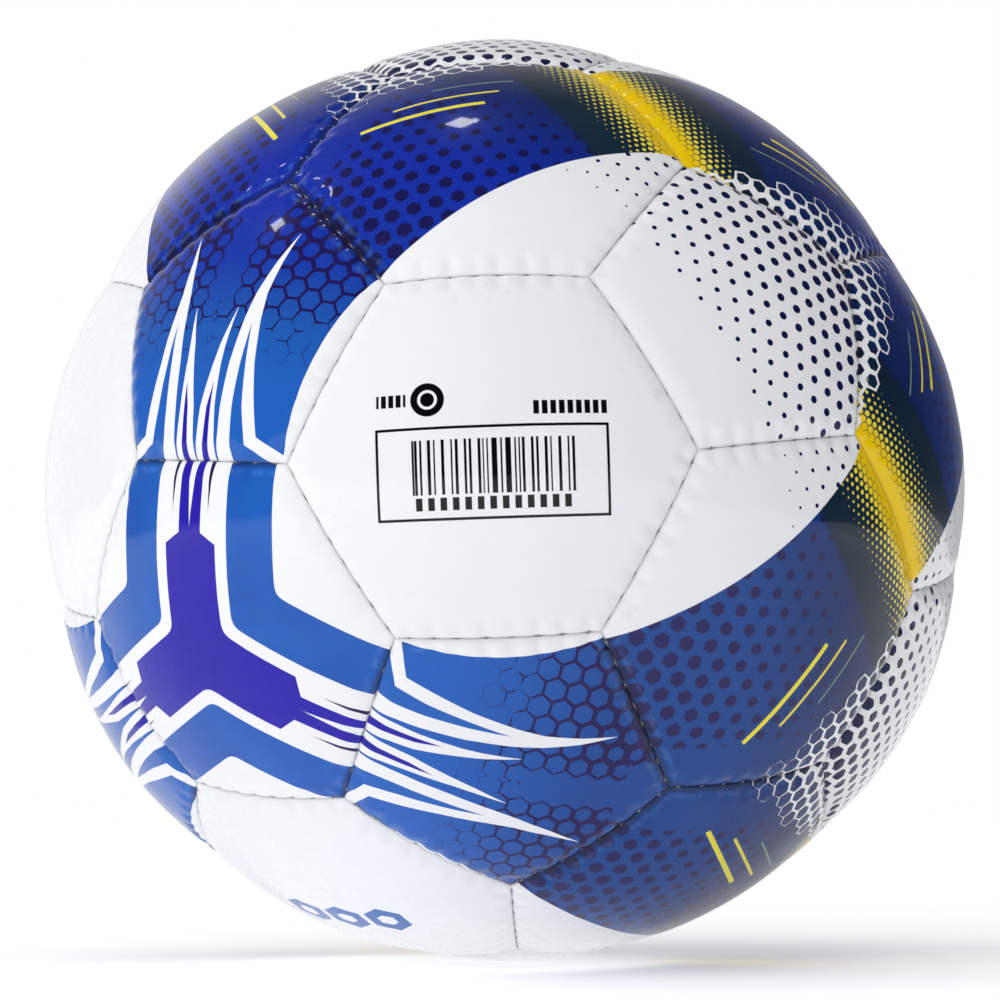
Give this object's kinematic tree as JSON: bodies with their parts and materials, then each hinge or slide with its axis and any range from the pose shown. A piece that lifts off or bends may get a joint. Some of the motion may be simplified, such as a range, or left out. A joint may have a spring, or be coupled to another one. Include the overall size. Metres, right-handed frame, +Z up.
{
  "type": "association football",
  "caption": "Size-five football with a stitched cover of hexagon and pentagon panels, cloth linings, a bladder and a needle valve.",
  "frame": {"origin": "centre of the ball", "axes": "+Y out along the inflation valve; -Y through the centre of the hexagon opposite the valve, which is the side first seen; +Z up, with one pentagon straight below that front hexagon but for a turn of 1.8 degrees about Y; X to the right seen from the front"},
  "size_m": [0.2174, 0.2199, 0.219],
  "materials": {
    "cover_white": "gloss",
    "cover_blue": "gloss",
    "cover_violet": "gloss",
    "cover_spiked": "gloss",
    "cover_dotted": "gloss",
    "lining_cloth": "matte",
    "thread": "satin",
    "bladder_rubber": "satin",
    "patch_rubber": "matte",
    "valve_rubber": "matte",
    "core_latex": "satin"
  },
  "bodies": {
    "root": {"hexagon_panel_01": "cover_white", "hexagon_panel_02": "cover_violet", "hexagon_panel_03": "cover_blue", "hexagon_panel_04": "cover_blue", "hexagon_panel_05": "cover_white", "hexagon_panel_06": "cover_blue", "hexagon_panel_07": "cover_white", "hexagon_panel_08": "cover_blue", "hexagon_panel_09": "cover_blue", "hexagon_panel_10": "cover_blue", "hexagon_panel_11": "cover_blue", "hexagon_panel_12": "cover_blue", "hexagon_panel_13": "cover_blue", "hexagon_panel_14": "cover_white", "hexagon_panel_15": "cover_white", "hexagon_panel_16": "cover_violet", "hexagon_panel_17": "cover_blue", "hexagon_panel_18": "cover_blue", "hexagon_panel_19": "cover_blue", "hexagon_panel_20": "cover_white", "pentagon_panel_01": "cover_spiked", "pentagon_panel_02": "cover_spiked", "pentagon_panel_03": "cover_dotted", "pentagon_panel_04": "cover_dotted", "pentagon_panel_05": "cover_spiked", "pentagon_panel_06": "cover_dotted", "pentagon_panel_07": "cover_dotted", "pentagon_panel_08": "cover_spiked", "pentagon_panel_09": "cover_dotted", "pentagon_panel_10": "cover_spiked", "pentagon_panel_11": "cover_spiked", "pentagon_panel_12": "cover_dotted", "hexagon_linings": "lining_cloth", "pentagon_linings": "lining_cloth", "seam_thread": "thread", "bladder": "bladder_rubber", "valve_patch": "patch_rubber", "valve_body": "valve_rubber", "valve_core": "core_latex"}
  },
  "joints": []
}
